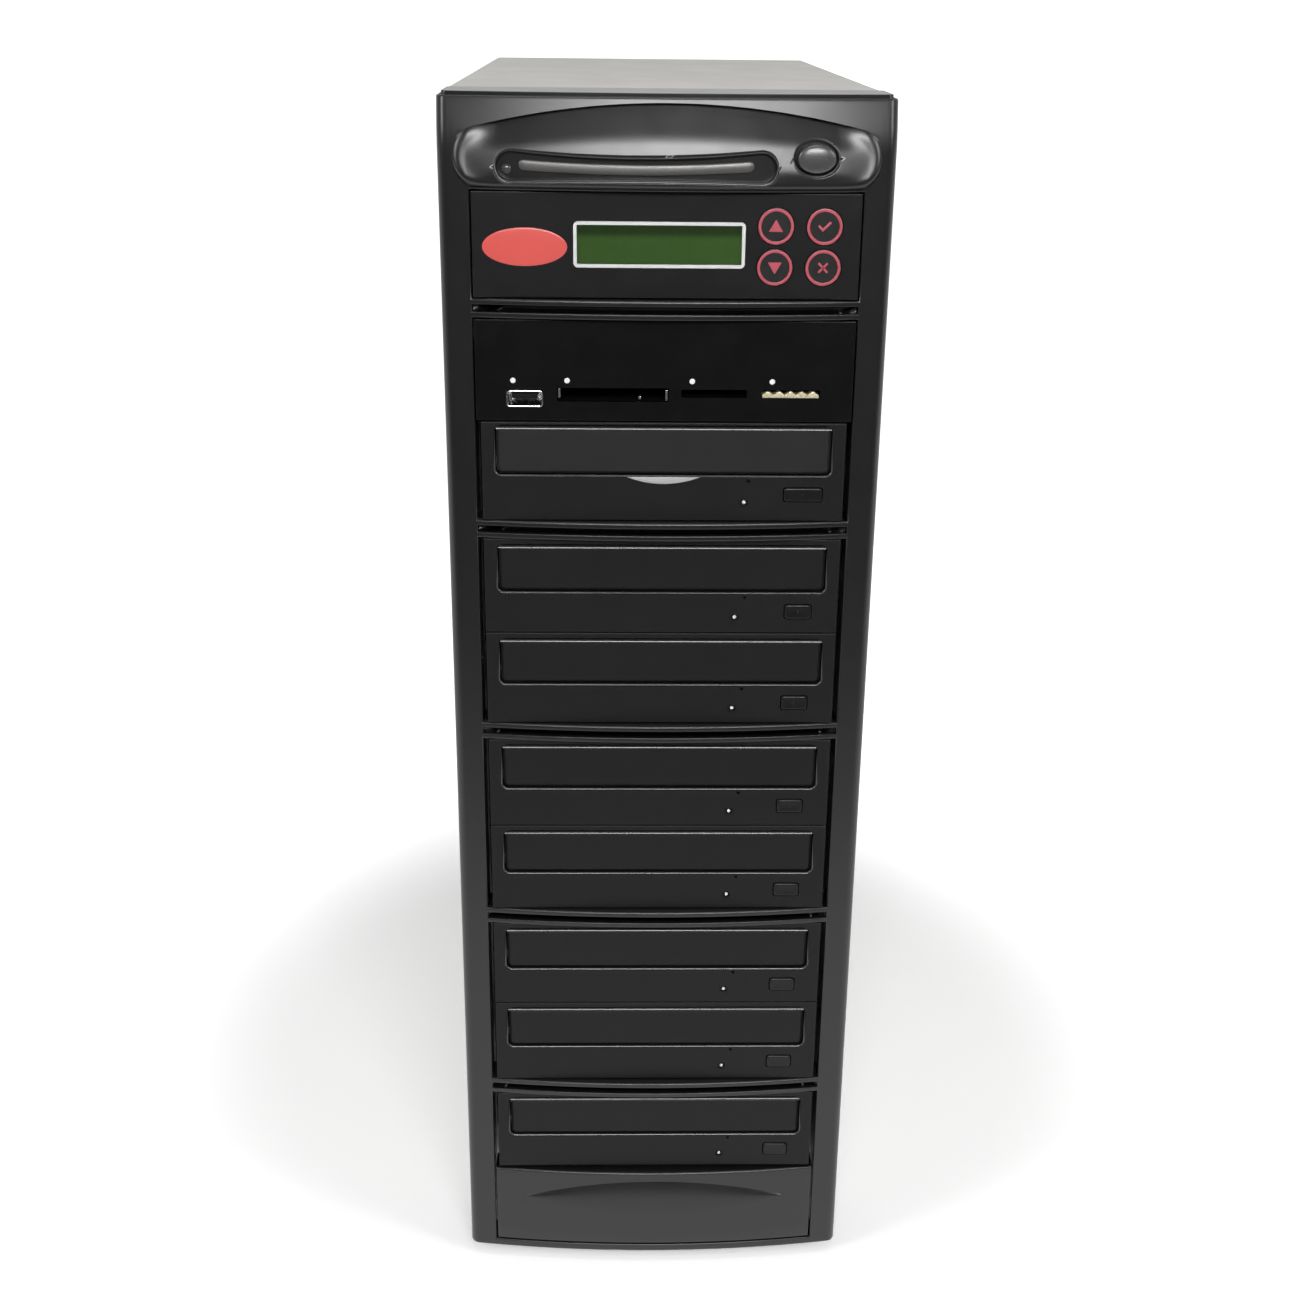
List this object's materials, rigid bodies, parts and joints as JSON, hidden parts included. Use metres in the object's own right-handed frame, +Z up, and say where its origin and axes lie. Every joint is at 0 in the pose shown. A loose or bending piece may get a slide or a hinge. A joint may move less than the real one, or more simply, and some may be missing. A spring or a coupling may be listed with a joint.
{
  "type": "disc duplicator tower",
  "caption": "Free-standing disc duplicator tower with a bowed front, sliding disc trays, a display panel with round keys and a card reader in a steel case.",
  "frame": {"origin": "centre of the overall box, on the plane of the feet", "axes": "+X to the right seen from the front, +Y to the back, +Z up; the trays open towards -Y"},
  "size_m": [0.178, 0.391, 0.544],
  "materials": {
    "bezel_plastic": "satin moulded",
    "drive_plastic": "fine textured",
    "panel_black": "smooth satin",
    "button_plastic": "gloss",
    "key_plastic": "satin with a red printed ring",
    "inner_plastic": "matt",
    "silver_trim": "brushed",
    "white_trim": "smooth",
    "display_green": "smooth lit window",
    "badge_red": "smooth",
    "clear_lens": "polished",
    "circuit_board": "lacquered",
    "bright_steel": "zinc plated",
    "case_paint": "satin powder coat, pale warm grey",
    "foot_rubber": "matt"
  },
  "bodies": {
    "root": {"front_bezel": "bezel_plastic", "lower_cover": "bezel_plastic", "trim_strip": "silver_trim", "indicator_lamps": "clear_lens", "power_switch": "inner_plastic", "control_panel": "panel_black", "display_trim": "white_trim", "display_module": "display_green", "control_board": "circuit_board", "badge": "badge_red", "card_reader_panel": "panel_black", "card_reader_module": "inner_plastic", "usb_port": "bright_steel", "reader_bezel": "drive_plastic", "writer_1_bezel": "drive_plastic", "writer_2_bezel": "drive_plastic", "writer_3_bezel": "drive_plastic", "writer_4_bezel": "drive_plastic", "writer_5_bezel": "drive_plastic", "writer_6_bezel": "drive_plastic", "writer_7_bezel": "drive_plastic", "upper_drive_cases": "bright_steel", "lower_drive_cases": "bright_steel", "chassis": "bright_steel", "top_panel": "case_paint", "left_side_panel": "case_paint", "right_side_panel": "case_paint", "left_drive_rail": "bright_steel", "right_drive_rail": "bright_steel", "drive_screws": "bright_steel", "thumb_screws": "bright_steel", "feet": "foot_rubber", "power_supply_case": "bright_steel", "mains_inlet": "inner_plastic", "rear_fan_frame": "inner_plastic", "controller_board": "circuit_board"},
    "power_button": {"power_button": "button_plastic"},
    "key_up": {"key_up": "key_plastic"},
    "key_down": {"key_down": "key_plastic"},
    "key_enter": {"key_enter": "key_plastic"},
    "key_escape": {"key_escape": "key_plastic"},
    "reader_tray": {"reader_tray": "drive_plastic"},
    "reader_eject": {"reader_eject": "drive_plastic"},
    "writer_1_tray": {"writer_1_tray": "drive_plastic"},
    "writer_1_eject": {"writer_1_eject": "drive_plastic"},
    "writer_2_tray": {"writer_2_tray": "drive_plastic"},
    "writer_2_eject": {"writer_2_eject": "drive_plastic"},
    "writer_3_tray": {"writer_3_tray": "drive_plastic"},
    "writer_3_eject": {"writer_3_eject": "drive_plastic"},
    "writer_4_tray": {"writer_4_tray": "drive_plastic"},
    "writer_4_eject": {"writer_4_eject": "drive_plastic"},
    "writer_5_tray": {"writer_5_tray": "drive_plastic"},
    "writer_5_eject": {"writer_5_eject": "drive_plastic"},
    "writer_6_tray": {"writer_6_tray": "drive_plastic"},
    "writer_6_eject": {"writer_6_eject": "drive_plastic"},
    "writer_7_tray": {"writer_7_tray": "drive_plastic"},
    "writer_7_eject": {"writer_7_eject": "drive_plastic"},
    "power_supply_fan": {"power_supply_fan": "inner_plastic"},
    "mains_rocker": {"mains_rocker": "button_plastic"},
    "rear_fan_rotor": {"rear_fan_rotor": "inner_plastic"}
  },
  "joints": [
    {"name": "power_button_press", "type": "slide", "parent": "root", "child": "power_button", "axis": [0, 1, 0], "range_m": [0, 0.0025], "stiffness_N_per_m": 300, "springref_m": -0.001},
    {"name": "key_up_press", "type": "slide", "parent": "root", "child": "key_up", "axis": [0, 1, 0], "range_m": [0, 0.0008], "stiffness_N_per_m": 500, "springref_m": -0.0004},
    {"name": "key_down_press", "type": "slide", "parent": "root", "child": "key_down", "axis": [0, 1, 0], "range_m": [0, 0.0008], "stiffness_N_per_m": 500, "springref_m": -0.0004},
    {"name": "key_enter_press", "type": "slide", "parent": "root", "child": "key_enter", "axis": [0, 1, 0], "range_m": [0, 0.0008], "stiffness_N_per_m": 500, "springref_m": -0.0004},
    {"name": "key_escape_press", "type": "slide", "parent": "root", "child": "key_escape", "axis": [0, 1, 0], "range_m": [0, 0.0008], "stiffness_N_per_m": 500, "springref_m": -0.0004},
    {"name": "reader_tray_slide", "type": "slide", "parent": "root", "child": "reader_tray", "axis": [0, -1, 0], "range_m": [0, 0.135]},
    {"name": "reader_eject_press", "type": "slide", "parent": "root", "child": "reader_eject", "axis": [0, 1, 0], "range_m": [0, 0.001], "stiffness_N_per_m": 400, "springref_m": -0.0005},
    {"name": "writer_1_tray_slide", "type": "slide", "parent": "root", "child": "writer_1_tray", "axis": [0, -1, 0], "range_m": [0, 0.135]},
    {"name": "writer_1_eject_press", "type": "slide", "parent": "root", "child": "writer_1_eject", "axis": [0, 1, 0], "range_m": [0, 0.001], "stiffness_N_per_m": 400, "springref_m": -0.0005},
    {"name": "writer_2_tray_slide", "type": "slide", "parent": "root", "child": "writer_2_tray", "axis": [0, -1, 0], "range_m": [0, 0.135]},
    {"name": "writer_2_eject_press", "type": "slide", "parent": "root", "child": "writer_2_eject", "axis": [0, 1, 0], "range_m": [0, 0.001], "stiffness_N_per_m": 400, "springref_m": -0.0005},
    {"name": "writer_3_tray_slide", "type": "slide", "parent": "root", "child": "writer_3_tray", "axis": [0, -1, 0], "range_m": [0, 0.135]},
    {"name": "writer_3_eject_press", "type": "slide", "parent": "root", "child": "writer_3_eject", "axis": [0, 1, 0], "range_m": [0, 0.001], "stiffness_N_per_m": 400, "springref_m": -0.0005},
    {"name": "writer_4_tray_slide", "type": "slide", "parent": "root", "child": "writer_4_tray", "axis": [0, -1, 0], "range_m": [0, 0.135]},
    {"name": "writer_4_eject_press", "type": "slide", "parent": "root", "child": "writer_4_eject", "axis": [0, 1, 0], "range_m": [0, 0.001], "stiffness_N_per_m": 400, "springref_m": -0.0005},
    {"name": "writer_5_tray_slide", "type": "slide", "parent": "root", "child": "writer_5_tray", "axis": [0, -1, 0], "range_m": [0, 0.135]},
    {"name": "writer_5_eject_press", "type": "slide", "parent": "root", "child": "writer_5_eject", "axis": [0, 1, 0], "range_m": [0, 0.001], "stiffness_N_per_m": 400, "springref_m": -0.0005},
    {"name": "writer_6_tray_slide", "type": "slide", "parent": "root", "child": "writer_6_tray", "axis": [0, -1, 0], "range_m": [0, 0.135]},
    {"name": "writer_6_eject_press", "type": "slide", "parent": "root", "child": "writer_6_eject", "axis": [0, 1, 0], "range_m": [0, 0.001], "stiffness_N_per_m": 400, "springref_m": -0.0005},
    {"name": "writer_7_tray_slide", "type": "slide", "parent": "root", "child": "writer_7_tray", "axis": [0, -1, 0], "range_m": [0, 0.135]},
    {"name": "writer_7_eject_press", "type": "slide", "parent": "root", "child": "writer_7_eject", "axis": [0, 1, 0], "range_m": [0, 0.001], "stiffness_N_per_m": 400, "springref_m": -0.0005},
    {"name": "power_supply_fan_spin", "type": "hinge", "parent": "root", "child": "power_supply_fan", "pos_m": [-0.028, 0.1675, 0.493], "axis": [0, 1, 0], "continuous": true},
    {"name": "mains_rocker_tip", "type": "hinge", "parent": "root", "child": "mains_rocker", "pos_m": [0.05, 0.184, 0.512], "axis": [0, 0, 1], "range_deg": [-10, 10]},
    {"name": "rear_fan_rotor_spin", "type": "hinge", "parent": "root", "child": "rear_fan_rotor", "pos_m": [0, 0.1675, 0.388], "axis": [0, 1, 0], "continuous": true}
  ]
}
